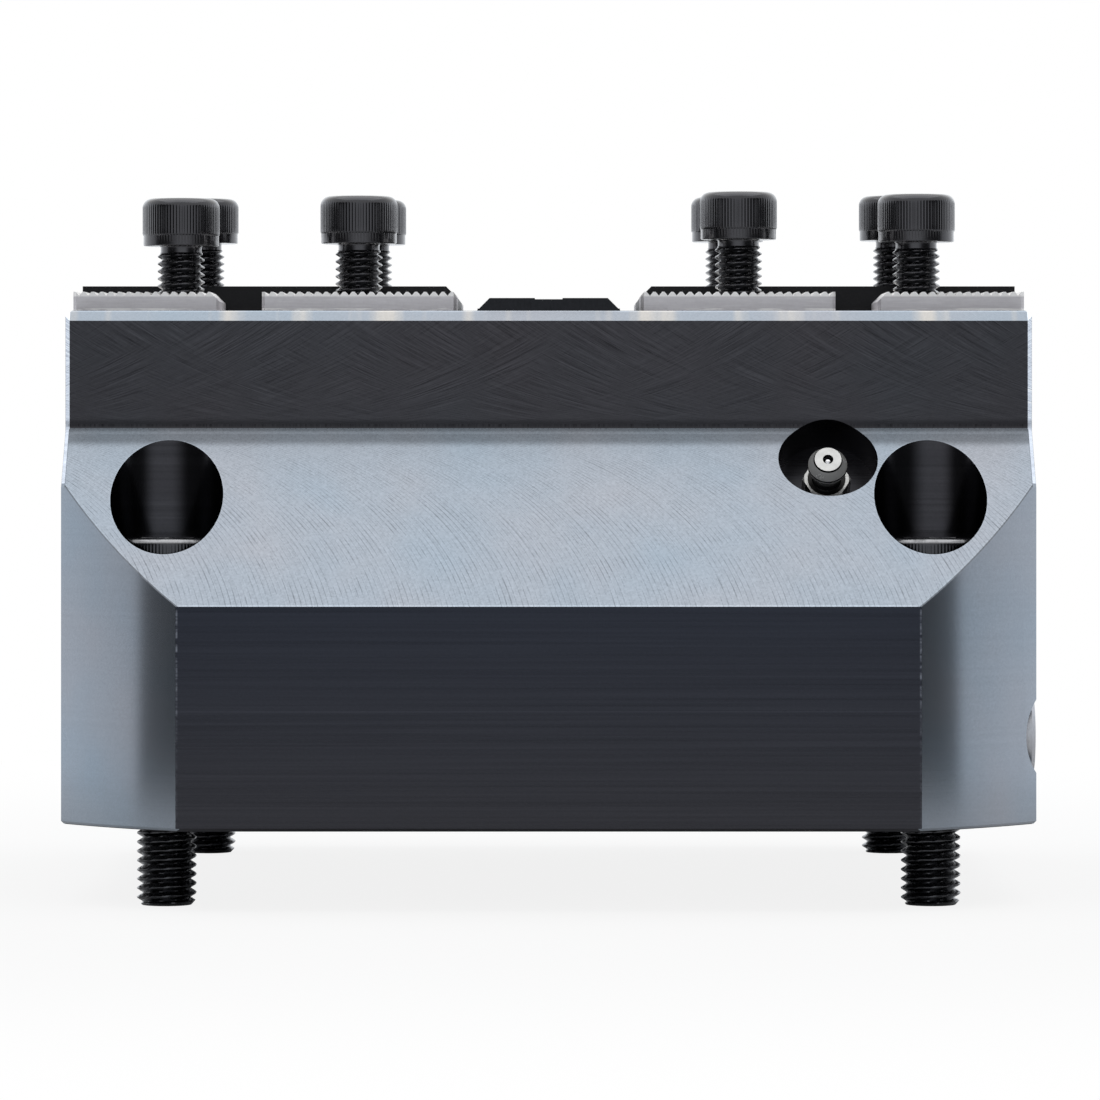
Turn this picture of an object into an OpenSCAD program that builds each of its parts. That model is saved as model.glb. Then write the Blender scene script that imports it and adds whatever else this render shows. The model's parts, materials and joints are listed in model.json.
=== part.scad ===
// Self centering vise, power operated: a piston lifts a wedge block that draws both base jaws in.
// Frame: origin at the centre of the body's bottom face, +Z up, jaws travel along X, front is -Y.

/* [Body] */
// Side of the square body
body_w = 160; // [156:1:168]
// Wall from the centres of the mounting screws to the turned corners
corner_wall = 11.6; // [10.6:0.2:14.6]
// Height of the body up to its rails
body_h = 84.4; // [83:0.2:90]
// Width of each rail, over its undercut
rail_w = 9.4; // [9:0.2:11]
// Height of the upright walls above the slopes
upper_h = 19.6; // [18.6:0.2:20.6]
// Bevel along the two long top edges
rail_bevel = 1.7; // [0.5:0.1:2.5]
// Bevel along the upper edges of the end faces
end_bevel = 1; // [0.5:0.1:1.5]
// Bevel on the upright and slanting edges of the end faces
side_bevel = 0.75; // [0.3:0.05:1]
// Bevel around the base
base_bevel = 0.5; // [0.3:0.1:1]
// Radius where the upright walls meet the slopes
slope_r = 3; // [1:0.5:5]

/* [Mounting screws] */
// Distance of the mounting screws from the side faces
mount_edge = 17.5; // [17.5:0.25:18.5]
// Height of the seats under the screw heads
mount_seat = 37; // [34:0.5:38]
// Diameter of the counterbores
mount_bore = 18.5; // [17.5:0.1:18.6]
// Clearance hole, the coarse series for this screw
mount_hole = 12.1; // [11.9:0.1:12.3]
// Diameter over the thread
mount_d = 9.73; // [9.6:0.01:9.9]
// Length under the head
mount_len = 50; // [45:5:60]
// Head diameter
mount_head_d = 16; // [15.5:0.1:16.2]
// Head height
mount_head_h = 10; // [9.5:0.1:10]

/* [Jaw guide] */
// Width of the channel between the rails
guide_w = 84; // [82:0.5:86]
// Undercut below each rail
undercut = 4; // [3:0.25:4.5]
// Depth of the channel below the rails
guide_depth = 16.4; // [16:0.1:17]
// Thickness of the rails over the undercuts
lip_h = 6.9; // [6.5:0.1:7.2]
// Running clearance of the jaws
run_gap = 0.05; // [0.02:0.01:0.08]

/* [Wedge drive] */
// Travel of each jaw
jaw_stroke = 3; // [2:0.25:3.5]
// Angle of the slanting faces from the vertical
wedge_angle = 20; // [19:0.5:22]
// Half width of the wedge block at its middle
wedge_half = 20; // [19.5:0.1:20.5]
// Length of the wedge block along Y
wedge_w = 40; // [38:0.5:40]
// Width of the slot mouths
slot_neck = 12; // [10:0.5:13]
// Width of the slots behind the mouths
slot_head = 22; // [20:0.5:24]
// Depth of the slot mouths
neck_depth = 4; // [3.5:0.1:4.2]
// Depth of the slots behind the mouths
head_depth = 5; // [4.5:0.1:5]
// Play between the wedge and the jaws, along X
wedge_gap = 0.1; // [0.05:0.01:0.15]
// Diameter of the piston rod
rod_d = 70; // [69.5:0.5:72]
// Diameter over the thread of the screw that joins wedge block and piston
wedge_screw_d = 11.9; // [11.8:0.02:11.96]
// Head diameter of that screw
wedge_head_d = 18; // [17.5:0.1:18.2]
// Head height of that screw
wedge_head_h = 12; // [11.5:0.1:12]

/* [Cylinder] */
// Wall between the cylinder and the middle of each side face
cyl_wall = 17.5; // [17:0.5:20]
// Thickness of the piston
piston_t = 16; // [16:0.1:16.6]
// Thickness of the bottom cover's flange
flange_t = 6.5; // [6:0.1:7]
// Length of the bottom cover's spigot
spigot_h = 4; // [3.8:0.1:4.2]
// Number of bottom cover screws
cover_screw_n = 8; // [6:1:8]
// Diameter over the thread of the bottom cover screws
cover_screw_d = 4.9; // [4.8:0.02:4.96]
// Length of the bottom cover screws
cover_screw_len = 16; // [14:1:16]
// Head diameter of the bottom cover screws
cover_head_d = 8.5; // [8.3:0.1:8.5]
// Head height of the bottom cover screws
cover_head_h = 3.5; // [3.2:0.1:3.6]
// Height of the groove for the piston seal
seal_h = 3; // [2.8:0.1:3.2]
// Depth of the grooves for the piston seal and the rod seal
seal_t = 4; // [3.5:0.1:4.5]
// Height of the groove for the guide ring
band_h = 2.5; // [2.3:0.1:2.7]
// Depth of the groove for the guide ring
band_t = 2; // [1.8:0.1:2.2]

/* [Base jaws] */
// Length of each base jaw
jaw_len = 64; // [62:0.2:66]
// Height of the tooth crests above the rails
crest_h = 3.3; // [2.5:0.1:4]
// Distance between teeth
tooth_pitch = 1.5; // [1.5:0.1:2]
// Flat left on each crest
crest_flat = 0.4; // [0.2:0.05:0.6]
// Depth of the teeth
tooth_depth = 0.65; // [0.5:0.05:0.7]
// Bevel on the strips beside the cross groove
groove_bevel = 1.6; // [1:0.1:2]
// Height of the centre rib above the rails
rib_h = 4.7; // [4.2:0.1:5.5]
// Width of each toothed strip
strip_w = 21; // [20.4:0.2:22]
// Width of the cross groove in the strips
cross_w = 7.1; // [6:0.1:8]
// Distance from the inner end to the cross groove
cross_x = 32.5; // [31:0.1:34]

/* [Jaw screws] */
// Diameter over the thread
jaw_screw_d = 7.9; // [7.8:0.02:7.96]
// Length under the head
jaw_screw_len = 20; // [16:1:22]
// Head diameter
jaw_head_d = 13; // [12.6:0.1:13.3]
// Head height
jaw_head_h = 8; // [7.6:0.1:8]
// Distance of the inner screws from the jaw's inner end
jaw_screw_x = 16.6; // [15:0.2:18]
// Distance between screws along X
jaw_screw_dx = 30; // [29:0.2:31]
// Height of the front heads above the rails, from left to right
front_heads = [11.2, 11.6, 12.3, 11.9]; // [10.8:0.1:14]
// Height of the rear heads above the rails, from left to right
rear_heads = [13.5, 13.3, 13.8, 14]; // [10.8:0.1:14]

/* [Centre cover] */
// Width of the cover at the rails
cover_w = 23.8; // [23:0.2:26]
// Height of the cover above the rails
cover_h = 2.1; // [1.8:0.1:3]
// Distance of the cover's ends from the edges of the rails
cover_end = 1.9; // [1.7:0.1:2.5]
// Depth of the tongue below the rails
tongue_h = 4.4; // [3.5:0.1:4.4]
// Head diameter of the cover screws
trim_head_d = 7; // [6.6:0.1:7.2]
// Diameter over the thread of the cover screws
trim_d = 3.9; // [3.8:0.02:3.96]

/* [Grease points] */
// Distance between the grease points and the mounting screws, along X
grease_gap = 16.5; // [16:0.5:18.5]
// Diameter of the recesses
grease_d = 16.4; // [15:0.1:16.6]
// Depth of the recesses along their axis
grease_depth = 10; // [9:0.1:11]
// Angle of the recesses above the horizontal
grease_angle = 30; // [28:1:32]
// Head diameter of the nipples
nipple_head_d = 6.5; // [6.3:0.1:6.7]
// Width of their hexagon across flats
nipple_hex = 7; // [6.8:0.1:7.2]
// Diameter over their thread
nipple_d = 5.9; // [5.8:0.02:5.96]
// Length of the nipples
nipple_len = 15.5; // [15:0.1:16]
// Diameter of the check balls
ball_d = 2.2; // [2:0.1:2.3]

/* [Air ports] */
// Distance of the ports from the front and rear faces
port_edge = 26.5; // [26:0.5:27]
// Height of the ports
port_z = 14.4; // [14:0.1:14.6]
// Diameter of the spot faces
port_spot = 17.7; // [16:0.1:18]
// Depth of the spot faces
spot_depth = 3; // [2:0.1:3.2]
// Thread diameter
port_d = 9.7; // [9:0.1:10.5]
// Depth of the ports
port_depth = 10.5; // [9.5:0.1:10.8]
// Diameter of the air passages
passage_d = 4; // [3:0.25:4]
// Diameter of the plugs' collars
plug_d = 14; // [13:0.1:14.5]

/* [Hidden] */
$fn = 96;
half_w = body_w / 2;
upper_w = guide_w + 2 * rail_w;
half_u = upper_w / 2;
z_slope = body_h - upper_h;
z_edge = z_slope - (half_w - half_u);
z_floor = body_h - guide_depth;
z_lip = body_h - lip_h;
mount_xy = half_w - mount_edge;
corner_d = 2 * (mount_xy * sqrt(2) + corner_wall);

// Drive: the wedge rises by the jaw travel over the tangent of its angle
rise = jaw_stroke / tan(wedge_angle);
end_gap = 0.76;
z_under = body_h - tongue_h;
z_wedge = z_under - rise - end_gap;
z_pocket = z_wedge + rise + end_gap - 0.4;
leg_w = slot_head + 6;
leg_x = wedge_half + 24;

// Cylinder, from the bottom up
cover_in = 0.5;
cyl_d = body_w - 2 * cyl_wall;
z_flange = cover_in + flange_t;
z_spigot = z_flange + spigot_h;
z_piston = z_spigot + 0.1;
z_rod = z_piston + piston_t;
z_web = z_rod + rise + 0.66;
flange_d = cyl_d + 25;
screw_pcd = cyl_d + 13;
spigot_d = 50;
recess_h = 2.5;
cover_seat = cover_in + cover_head_h + 0.5;

// Grooves of the piston and of the rod bore
z_seal = z_piston + 6.7;
z_band = z_seal + seal_h + 1.1;
z_rod_seal = z_web + 2;
rod_seal_h = seal_h + 1.5;

// Upwards from the rod seal: the rod's end stays in it at the lower end of the travel
z_stem = z_rod_seal + rod_seal_h + 1.5;
z_mid = z_stem + 2;
z_leg = z_stem + rise + end_gap;
z_guide = z_leg - 2;
wedge_seat = z_wedge - wedge_head_h - 2;

// Jaws
jaw_in = cover_w / 2 + jaw_stroke + 0.5;
jaw_out = jaw_in + jaw_len;
z_crest = body_h + crest_h;
z_cross = body_h + 0.1;
cross_in = jaw_in + cross_x;
rib_w = guide_w - 2 * strip_w;
jaw_screw_y = (guide_w - strip_w) / 2;

// Centre cover
cover_len = upper_w - 2 * cover_end;
trim_y = guide_w / 2 + 3.8;
trim_gap = 0.1;
trim_cone = (trim_head_d - trim_d) / 2;

// Grease points: the axis meets the slope at this height
grease_x = mount_xy - grease_gap;
grease_z = z_slope - 5;
grease_y = half_u + 5;

// Air ports: the rear one's passage goes up beside the cylinder, covered by the flange
port_y = half_w - port_edge;
feed_x = half_w - 32;
inlet_x = sqrt(pow(cyl_d / 2, 2) - pow(port_y, 2)) - 2;
plug_out = 0.1;

// Face of the wedge at height z, at rest
function wedge_x(z) = wedge_half + (z - z_mid) * tan(wedge_angle);

// Slab that follows the slant, from offset a to offset b of the wedge's face
module slant_slab(z0, z1, a, b, w) {
    rotate([90, 0, 0])
        linear_extrude(w, center = true)
            polygon([
                [wedge_x(z0) + a, z0],
                [wedge_x(z0) + b, z0],
                [wedge_x(z1) + b, z1],
                [wedge_x(z1) + a, z1]
            ]);
}

// Bar that bevels an edge running along the local Z axis by c
module bevel_bar(c, h) {
    rotate([0, 0, 45])
        cube([c * sqrt(2), c * sqrt(2), h], center = true);
}

// Ring with a rectangular section
module ring(r0, r1, z0, z1) {
    translate([0, 0, z0])
        difference() {
            cylinder(r = r1, h = z1 - z0);
            translate([0, 0, -1])
                cylinder(r = r0, h = z1 - z0 + 2);
        }
}

// Profile extruded along X, centred
module along_x(len) {
    rotate([90, 0, 90])
        linear_extrude(len, center = true)
            children();
}

// Profile extruded along Y, centred
module along_y(len) {
    rotate([90, 0, 0])
        linear_extrude(len, center = true)
            children();
}

// Both front and rear versions of a feature
module turn_half() {
    children();
    rotate([0, 0, 180])
        children();
}

// Upper block of the body, with its bevels
module upper_block() {
    intersection() {
        along_x(body_w + 2)
            polygon([
                [-half_u, 1],
                [half_u, 1],
                [half_u, body_h - rail_bevel],
                [half_u - rail_bevel, body_h],
                [-half_u + rail_bevel, body_h],
                [-half_u, body_h - rail_bevel]
            ]);
        along_y(body_w + 2)
            polygon([
                [-half_w, 1],
                [half_w, 1],
                [half_w, body_h - end_bevel],
                [half_w - end_bevel, body_h],
                [-half_w + end_bevel, body_h],
                [-half_w, body_h - end_bevel]
            ]);
        linear_extrude(body_h + 1)
            polygon([
                [-half_w, -half_u + side_bevel],
                [-half_w + side_bevel, -half_u],
                [half_w - side_bevel, -half_u],
                [half_w, -half_u + side_bevel],
                [half_w, half_u - side_bevel],
                [half_w - side_bevel, half_u],
                [-half_w + side_bevel, half_u],
                [-half_w, half_u - side_bevel]
            ]);
    }
}

// Lower block: square with turned corners and the two slopes
module lower_block() {
    difference() {
        intersection() {
            along_x(body_w + 2)
                polygon([
                    [-half_w + base_bevel, 0],
                    [half_w - base_bevel, 0],
                    [half_w, base_bevel],
                    [half_w, z_edge],
                    [half_u, z_slope],
                    [-half_u, z_slope],
                    [-half_w, z_edge],
                    [-half_w, base_bevel]
                ]);
            along_y(body_w + 2)
                polygon([
                    [-half_w + base_bevel, 0],
                    [half_w - base_bevel, 0],
                    [half_w, base_bevel],
                    [half_w, z_slope + 1],
                    [-half_w, z_slope + 1],
                    [-half_w, base_bevel]
                ]);
            rotate_extrude()
                polygon([
                    [0, 0],
                    [corner_d / 2 - base_bevel, 0],
                    [corner_d / 2, base_bevel],
                    [corner_d / 2, z_slope + 1],
                    [0, z_slope + 1]
                ]);
        }
        for (sx = [-1, 1])
            turn_half()
                translate([sx * half_w, -half_u, z_slope])
                    rotate([135, 0, 0])
                        translate([0, 0, 8])
                            bevel_bar(side_bevel, 30);
    }
}

// Fillet along the top of a slope
module slope_fillet() {
    t = slope_r * tan(22.5);
    s = t / sqrt(2);
    along_x(body_w - 2 * side_bevel)
        difference() {
            polygon([
                [-half_u + 1, z_slope + t],
                [-half_u - slope_r, z_slope + t],
                [-half_u - s, z_slope - s],
                [-half_u + 1, z_slope - s - 1]
            ]);
            translate([-half_u - slope_r, z_slope + t])
                circle(r = slope_r);
        }
}

// Position and direction of the slanting grease axis, local +Z pointing out
module grease_axis() {
    translate([grease_x, -grease_y, grease_z])
        rotate([90 - grease_angle, 0, 0])
            children();
}

// Air port with its spot face, drilled in from the right face
module port_cut() {
    rotate([0, 90, 0]) {
        translate([0, 0, -port_depth])
            cylinder(d = port_d, h = port_depth + 1);
        translate([0, 0, -spot_depth])
            cylinder(d = port_spot, h = spot_depth + 1);
    }
}

module body() {
    color("#33353a")
        difference() {
            union() {
                upper_block();
                lower_block();
                turn_half()
                    slope_fillet();
            }
            // Channel for the jaws
            translate([-half_w - 1, -guide_w / 2 - run_gap, z_floor])
                cube([body_w + 2, guide_w + 2 * run_gap, guide_depth + 1]);
            translate([-half_w - 1, -guide_w / 2 - undercut, z_floor])
                cube([body_w + 2, guide_w + 2 * undercut, z_lip - z_floor]);
            // Way for the jaw legs, and the pit for the wedge block
            translate([-half_w - 1, -leg_w / 2 - 0.5, z_leg - 1.5])
                cube([body_w + 2, leg_w + 1, z_floor - z_leg + 2.5]);
            translate([0, 0, z_guide])
                cylinder(d = rod_d + 2, h = z_floor - z_guide + 1);
            // Rod bore with the groove of its seal
            translate([0, 0, z_web - 1])
                cylinder(d = rod_d + 2 * run_gap, h = z_guide - z_web + 2);
            translate([0, 0, z_rod_seal])
                cylinder(d = rod_d + 2 * seal_t, h = rod_seal_h);
            // Cylinder and seat of the bottom cover
            translate([0, 0, -1])
                cylinder(d = cyl_d, h = z_web + 1);
            translate([0, 0, -1])
                cylinder(d = flange_d + 0.4, h = z_flange + 1);
            for (i = [0:cover_screw_n - 1])
                rotate([0, 0, (i + 0.5) * 360 / cover_screw_n])
                    translate([screw_pcd / 2, 0, z_flange - 1])
                        cylinder(d = cover_screw_d + 0.1, h = cover_seat + cover_screw_len - z_flange + 2);
            // Mounting screws
            for (sx = [-1, 1], sy = [-1, 1])
                translate([sx * mount_xy, sy * mount_xy, 0]) {
                    translate([0, 0, -1])
                        cylinder(d = mount_hole, h = mount_seat + 2);
                    translate([0, 0, mount_seat])
                        cylinder(d = mount_bore, h = body_h);
                }
            // Grease points with their passages to the channel
            turn_half() {
                grease_axis() {
                    translate([0, 0, -grease_depth])
                        cylinder(d = grease_d, h = grease_depth + 20);
                    translate([0, 0, -nipple_len - 2.5])
                        cylinder(d = nipple_d + 0.1, h = 9);
                    translate([0, 0, -nipple_len - 8.5])
                        cylinder(d = 3, h = 15);
                }
                translate([grease_x, -grease_y + 20.5, z_floor - 21])
                    cylinder(d = 3, h = 22);
            }
            // Air ports: the front one feeds the space below the piston, the rear one that above
            for (sy = [-1, 1])
                translate([half_w, sy * port_y, port_z])
                    port_cut();
            translate([inlet_x, -port_y, port_z])
                rotate([0, 90, 0])
                    cylinder(d = passage_d, h = half_w - port_depth - inlet_x + 1);
            translate([feed_x, port_y, port_z])
                rotate([0, 90, 0])
                    cylinder(d = passage_d, h = half_w - port_depth - feed_x + 1);
            translate([feed_x, port_y, z_flange - 1])
                cylinder(d = passage_d, h = z_web - 3.6 - z_flange + 1);
            translate([inlet_x, port_y, z_web - 3.6])
                rotate([0, 90, 0])
                    cylinder(d = passage_d, h = feed_x - inlet_x + passage_d / 2);
            // Threads of the centre cover screws
            for (sy = [-1, 1])
                translate([0, sy * trim_y, z_lip - 1])
                    cylinder(d = trim_d + trim_gap, h = lip_h + 2);
        }
}

module bottom_cover() {
    color("#5c5e62")
        difference() {
            union() {
                translate([0, 0, cover_in])
                    cylinder(d = flange_d, h = flange_t);
                translate([0, 0, z_flange - 1])
                    cylinder(d = cyl_d - 0.1, h = spigot_h + 1);
            }
            ring(cyl_d / 2 - 1.85, cyl_d / 2 + 1, z_flange + 1, z_flange + 3.3);
            translate([0, 0, z_spigot - 1])
                cylinder(d = cyl_d - 21, h = 2);
            translate([0, 0, cover_in - 1])
                cylinder(d = cyl_d - 35, h = 2);
            for (i = [0:cover_screw_n - 1])
                rotate([0, 0, (i + 0.5) * 360 / cover_screw_n])
                    translate([screw_pcd / 2, 0, 0]) {
                        cylinder(d = cover_screw_d + 0.6, h = z_flange + 1);
                        cylinder(d = cover_head_d + 0.5, h = cover_seat);
                    }
        }
}

module bottom_cover_ring() {
    color("#1b1b1b")
        translate([0, 0, z_flange + 2.15])
            rotate_extrude()
                translate([cyl_d / 2 - 0.93, 0])
                    circle(r = 0.9);
}

// Socket head screw, under-head plane at Z = 0, head above
module cap_screw(d, len, head_d, head_h, af, deep, neck_d, neck_len, edge, band) {
    r = head_d / 2;
    difference() {
        union() {
            rotate_extrude()
                union() {
                    square([r - edge, head_h]);
                    translate([0, band])
                        square([r, head_h - band - edge]);
                    square([r - 0.12, head_h - edge]);
                    translate([r - edge, head_h - edge])
                        circle(r = edge, $fn = 64);
                }
            rotate_extrude()
                polygon([
                    [0, 1],
                    [neck_d / 2, 1],
                    [neck_d / 2, -neck_len],
                    [d / 2, -neck_len - (d - neck_d) / 2],
                    [d / 2, -len + 0.9],
                    [d / 2 - 0.9, -len],
                    [0, -len]
                ]);
        }
        translate([0, 0, head_h - deep])
            cylinder(r = af / 2 / cos(30), h = deep + 1, $fn = 6);
        translate([0, 0, head_h - deep - af / 8])
            cylinder(r1 = 0, r2 = af / 2, h = af / 8);
        translate([0, 0, head_h - 0.3])
            cylinder(r1 = af / 2 / cos(30) - 0.1, r2 = af / 2 / cos(30) + 0.4, h = 0.5);
    }
}

// Low head screw under the bottom cover, head down
module low_screw() {
    translate([0, 0, cover_seat])
        rotate([180, 0, 0])
            cap_screw(cover_screw_d, cover_screw_len, cover_head_d, cover_head_h, 4, 2.1, cover_screw_d, 0.5, 0.5, 0.6);
}

module bottom_cover_screws() {
    color("#2a2b2e")
        for (i = [0:cover_screw_n - 1])
            rotate([0, 0, (i + 0.5) * 360 / cover_screw_n])
                translate([screw_pcd / 2, 0, 0])
                    low_screw();
}

module piston() {
    r = cyl_d / 2;
    color("#8b8e92")
        rotate_extrude()
            polygon([
                [wedge_screw_d / 2 + 0.05, z_piston + 3],
                [r - 22.5, z_piston + 3],
                [r - 22.5, z_piston],
                [r - 2.05, z_piston],
                [r - 1.25, z_piston + 0.8],
                [r - 1.25, z_piston + 5.8],
                [r - 0.2, z_piston + 5.8],
                [r - 0.2, z_seal],
                [r - seal_t, z_seal],
                [r - seal_t, z_seal + seal_h],
                [r - 0.2, z_seal + seal_h],
                [r - 0.2, z_band],
                [r - band_t, z_band],
                [r - band_t, z_band + band_h],
                [r - 0.2, z_band + band_h],
                [r - 0.2, z_rod - 1.5],
                [r - 1.25, z_rod - 1.5],
                [r - 1.25, z_rod],
                [spigot_d / 2, z_rod],
                [spigot_d / 2, z_rod - recess_h],
                [wedge_screw_d / 2 + 0.05, z_rod - recess_h]
            ]);
}

module piston_seal() {
    color("#1b1b1b")
        ring(cyl_d / 2 - seal_t + 0.1, cyl_d / 2 - run_gap, z_seal + 0.1, z_seal + seal_h - 0.1);
}

module piston_guide_ring() {
    color("#7a5a36")
        ring(cyl_d / 2 - band_t + run_gap, cyl_d / 2 - run_gap, z_band + 0.1, z_band + band_h - 0.1);
}

module rod_seal() {
    color("#1b1b1b")
        ring(rod_d / 2 + run_gap, rod_d / 2 + seal_t - 0.1, z_rod_seal + 0.1, z_rod_seal + rod_seal_h - 0.1);
}

// Wedge block, rod and spigot in one piece
module wedge_block() {
    c = 1;
    color("#a9acb0")
        difference() {
            union() {
                translate([0, 0, z_rod])
                    cylinder(d = rod_d, h = z_stem - z_rod);
                translate([0, 0, z_rod - recess_h + 0.1])
                    cylinder(d = spigot_d - 0.1, h = recess_h + 1);
                along_y(wedge_w)
                    polygon([
                        [-wedge_x(z_stem - 1), z_stem - 1],
                        [wedge_x(z_stem - 1), z_stem - 1],
                        [wedge_x(z_wedge - c), z_wedge - c],
                        [wedge_x(z_wedge - c) - c, z_wedge],
                        [-wedge_x(z_wedge - c) + c, z_wedge],
                        [-wedge_x(z_wedge - c), z_wedge - c]
                    ]);
            }
            turn_half() {
                slant_slab(z_stem, z_wedge + 1, -neck_depth, 2, slot_neck);
                slant_slab(z_stem, z_wedge + 1, -neck_depth - head_depth, -neck_depth, slot_head);
            }
            translate([0, 0, z_rod - recess_h - 1])
                cylinder(d = wedge_screw_d + 1.1, h = wedge_seat - z_rod + recess_h + 2);
            translate([0, 0, wedge_seat])
                cylinder(d = wedge_head_d + 1, h = z_wedge - wedge_seat + 1);
        }
}

module wedge_screw() {
    color("#2a2b2e")
        translate([0, 0, wedge_seat])
            cap_screw(wedge_screw_d, wedge_seat - z_piston - 1, wedge_head_d, wedge_head_h, 10, 6, wedge_screw_d, 1, 1.4, 2.4);
}

// Right base jaw; the left one is its mirror image
module base_jaw() {
    shoulder = guide_w / 2 + undercut - run_gap;
    neck = guide_w / 2;
    cut = wedge_w / 2 + 0.3;
    difference() {
        union() {
            // Guide with its shoulders
            translate([(jaw_in + jaw_out) / 2, 0, 0])
                along_x(jaw_len)
                    polygon([
                        [-shoulder + 0.5, z_floor + run_gap],
                        [shoulder - 0.5, z_floor + run_gap],
                        [shoulder, z_floor + run_gap + 0.5],
                        [shoulder, z_lip - run_gap - 0.5],
                        [shoulder - 0.5, z_lip - run_gap],
                        [neck, z_lip - run_gap],
                        [neck, z_cross],
                        [-neck, z_cross],
                        [-neck, z_lip - run_gap],
                        [-shoulder + 0.5, z_lip - run_gap],
                        [-shoulder, z_lip - run_gap - 0.5],
                        [-shoulder, z_floor + run_gap + 0.5]
                    ]);
            serrated_strips();
            // Centre rib, bevelled at its inner end
            along_y(rib_w)
                polygon([
                    [jaw_in, z_cross - 1],
                    [jaw_out, z_cross - 1],
                    [jaw_out, body_h + rib_h],
                    [jaw_in + cover_h, body_h + rib_h],
                    [jaw_in, body_h + rib_h - cover_h]
                ]);
        }
        // Pocket around the wedge block
        along_y(2 * cut)
            polygon([
                [jaw_in - 20, z_floor - 1],
                [wedge_x(z_floor - 1) + wedge_gap, z_floor - 1],
                [wedge_x(z_pocket) + wedge_gap, z_pocket],
                [jaw_in - 20, z_pocket]
            ]);
        // Threads for the jaw screws
        for (i = [0, 1], sy = [-1, 1])
            translate([jaw_in + jaw_screw_x + i * jaw_screw_dx, sy * jaw_screw_y, z_floor + 5])
                cylinder(d = jaw_screw_d + 0.1, h = z_crest - z_floor);
        // Bevels on the upright edges
        for (x = [jaw_in, jaw_out], sy = [-1, 1])
            translate([x, sy * neck, body_h])
                bevel_bar(0.5, 13);
    }
    // Leg that reaches down beside the wedge block
    along_y(leg_w)
        polygon([
            [wedge_x(z_leg) + wedge_gap, z_leg],
            [leg_x - 1, z_leg],
            [leg_x, z_leg + 1],
            [leg_x, z_floor + 2],
            [wedge_x(z_floor + 2) + wedge_gap, z_floor + 2]
        ]);
    // Slanting tongue that runs in the wedge block's slot
    slant_slab(z_leg, z_wedge - 1, -neck_depth - wedge_gap - 1, wedge_gap + 1, slot_neck - 2 * wedge_gap);
    slant_slab(z_leg, z_wedge - 1, wedge_gap - neck_depth - head_depth, -neck_depth - wedge_gap, slot_head - 2 * wedge_gap);
}

// Toothed strips on both sides of the rib, with the cross groove
module serrated_strips() {
    n = ceil(jaw_len / tooth_pitch);
    flank = (tooth_pitch - crest_flat) / 2;
    z0 = z_crest - tooth_depth;
    for (sy = [-1, 1])
        difference() {
            intersection() {
                translate([0, sy * (guide_w + rib_w) / 4, 0])
                    along_y((guide_w - rib_w) / 2)
                        polygon(concat(
                            [[jaw_in + n * tooth_pitch, z_cross - 2], [jaw_in, z_cross - 2]],
                            [for (i = [0:n - 1], k = [0:2])
                                [
                                    jaw_in + i * tooth_pitch + [0, flank, flank + crest_flat][k],
                                    k == 0 ? z0 : z_crest
                                ]],
                            [[jaw_in + n * tooth_pitch, z0]]
                        ));
                translate([jaw_in, -guide_w, body_h - 10])
                    cube([jaw_len, 2 * guide_w, 30]);
            }
            translate([cross_in, -guide_w, z_cross])
                cube([cross_w, 2 * guide_w, 20]);
            // Bevels beside the groove
            translate([cross_in + cross_w, 0, z_crest])
                rotate([90, 0, 0])
                    bevel_bar(groove_bevel, 2 * guide_w);
            for (x = [cross_in, cross_in + cross_w])
                translate([x, sy * guide_w / 2, z_cross + 5])
                    bevel_bar(0.5, 10);
        }
}

module base_jaw_right() {
    color("#b9babc")
        base_jaw();
}

module base_jaw_left() {
    color("#b9babc")
        mirror([1, 0, 0])
            base_jaw();
}

// Screw of the front or rear row; i counts from left to right
module jaw_screw(i, sy) {
    side = i < 2 ? -1 : 1;
    out = i == 0 || i == 3 ? 1 : 0;
    h = sy < 0 ? front_heads[i] : rear_heads[i];
    color("#232427")
        translate([side * (jaw_in + jaw_screw_x + out * jaw_screw_dx), sy * jaw_screw_y, body_h + h])
            cap_screw(jaw_screw_d, jaw_screw_len, jaw_head_d, jaw_head_h, 6, 4, jaw_screw_d - 0.5, 2.2, 1.15, 1.7);
}

module jaw_screw_front_left_outer() jaw_screw(0, -1);
module jaw_screw_front_left_inner() jaw_screw(1, -1);
module jaw_screw_front_right_inner() jaw_screw(2, -1);
module jaw_screw_front_right_outer() jaw_screw(3, -1);
module jaw_screw_rear_left_outer() jaw_screw(0, 1);
module jaw_screw_rear_left_inner() jaw_screw(1, 1);
module jaw_screw_rear_right_inner() jaw_screw(2, 1);
module jaw_screw_rear_right_outer() jaw_screw(3, 1);

module mounting_screw(sx, sy) {
    color("#26272a")
        translate([sx * mount_xy, sy * mount_xy, mount_seat])
            cap_screw(mount_d, mount_len, mount_head_d, mount_head_h, 8, 5, mount_d, 1, 1.3, 2);
}

module mounting_screw_front_left() mounting_screw(-1, -1);
module mounting_screw_front_right() mounting_screw(1, -1);
module mounting_screw_rear_left() mounting_screw(-1, 1);
module mounting_screw_rear_right() mounting_screw(1, 1);

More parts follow.
